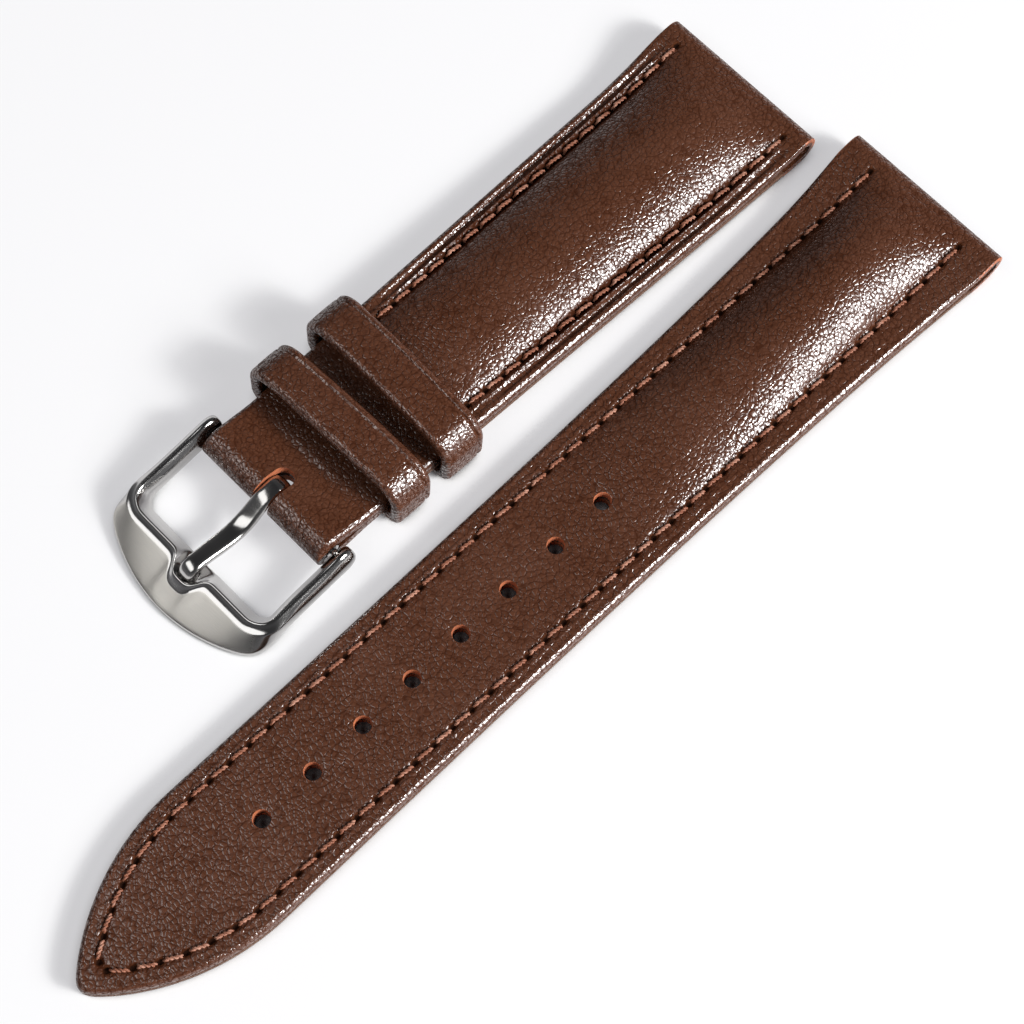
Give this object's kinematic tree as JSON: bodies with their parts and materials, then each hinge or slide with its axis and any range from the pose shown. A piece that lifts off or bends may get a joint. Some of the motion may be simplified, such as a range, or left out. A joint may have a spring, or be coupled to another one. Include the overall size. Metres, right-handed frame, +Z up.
{
  "type": "leather watch strap",
  "caption": "Padded brown leather watch strap in two stitched pieces, pointed tail with tongue holes, steel pin buckle on a spring bar, fixed and sliding keepers.",
  "frame": {"origin": "on the table, under the middle of the two straps as they lie side by side", "axes": "+Y along the straps towards their lug ends, +Z up from the table, X across the straps"},
  "size_m": [0.0436, 0.117, 0.008],
  "materials": {
    "cover_leather": "dark brown, fine pebble grain, soft gloss",
    "lining_leather": "smooth matt brown lining leather",
    "keeper_lining_leather": "thin grey-green lining",
    "filler": "soft felted filler",
    "reinforcement_tape": "woven tape",
    "thread": "waxed rust-orange twisted thread",
    "buckle_steel": "polished steel, satin front face",
    "bar_steel": "turned steel",
    "spring_steel": "drawn spring wire"
  },
  "bodies": {
    "short_strap": {"short_upper": "cover_leather", "short_lining": "lining_leather", "short_padding": "filler", "short_reinforcement": "reinforcement_tape", "short_needle_thread": "thread", "short_bobbin_thread": "thread", "fixed_keeper_cover": "cover_leather", "fixed_keeper_lining": "keeper_lining_leather", "spring_bar_tube": "bar_steel", "spring_bar_coil": "spring_steel"},
    "long_strap": {"long_upper": "cover_leather", "long_lining": "lining_leather", "long_padding": "filler", "long_reinforcement": "reinforcement_tape", "long_needle_thread": "thread", "long_bobbin_thread": "thread"},
    "free_keeper": {"free_keeper_cover": "cover_leather", "free_keeper_lining": "keeper_lining_leather"},
    "buckle_frame": {"buckle_frame": "buckle_steel"},
    "buckle_tongue": {"buckle_tongue": "buckle_steel"},
    "bar_tip_left": {"spring_bar_tip_left": "bar_steel"},
    "bar_tip_right": {"spring_bar_tip_right": "bar_steel"}
  },
  "joints": [
    {"name": "long_strap_lift", "type": "slide", "parent": "short_strap", "child": "long_strap", "axis": [0, 0, 1], "range_m": [0, 0.015]},
    {"name": "free_keeper_slide", "type": "slide", "parent": "short_strap", "child": "free_keeper", "axis": [0, 0.9996, -0.0299], "range_m": [-0.0019, 0.0063]},
    {"name": "buckle_swing", "type": "hinge", "parent": "short_strap", "child": "buckle_frame", "pos_m": [-0.01112, -0.01328, 0.00313], "axis": [-1, 0, 0], "range_deg": [-70, 50]},
    {"name": "tongue_swing", "type": "hinge", "parent": "buckle_frame", "child": "buckle_tongue", "pos_m": [-0.01112, -0.01328, 0.00313], "axis": [-1, 0, 0], "range_deg": [0, 75]},
    {"name": "bar_tip_left_press", "type": "slide", "parent": "short_strap", "child": "bar_tip_left", "axis": [1, 0, 0], "range_m": [0, 0.00118], "stiffness_N_per_m": 400, "springref_m": -0.001, "deforming": ["spring_bar_coil"]},
    {"name": "bar_tip_right_press", "type": "slide", "parent": "short_strap", "child": "bar_tip_right", "axis": [-1, 0, 0], "range_m": [0, 0.00118], "stiffness_N_per_m": 400, "springref_m": -0.001, "deforming": ["spring_bar_coil"]}
  ]
}
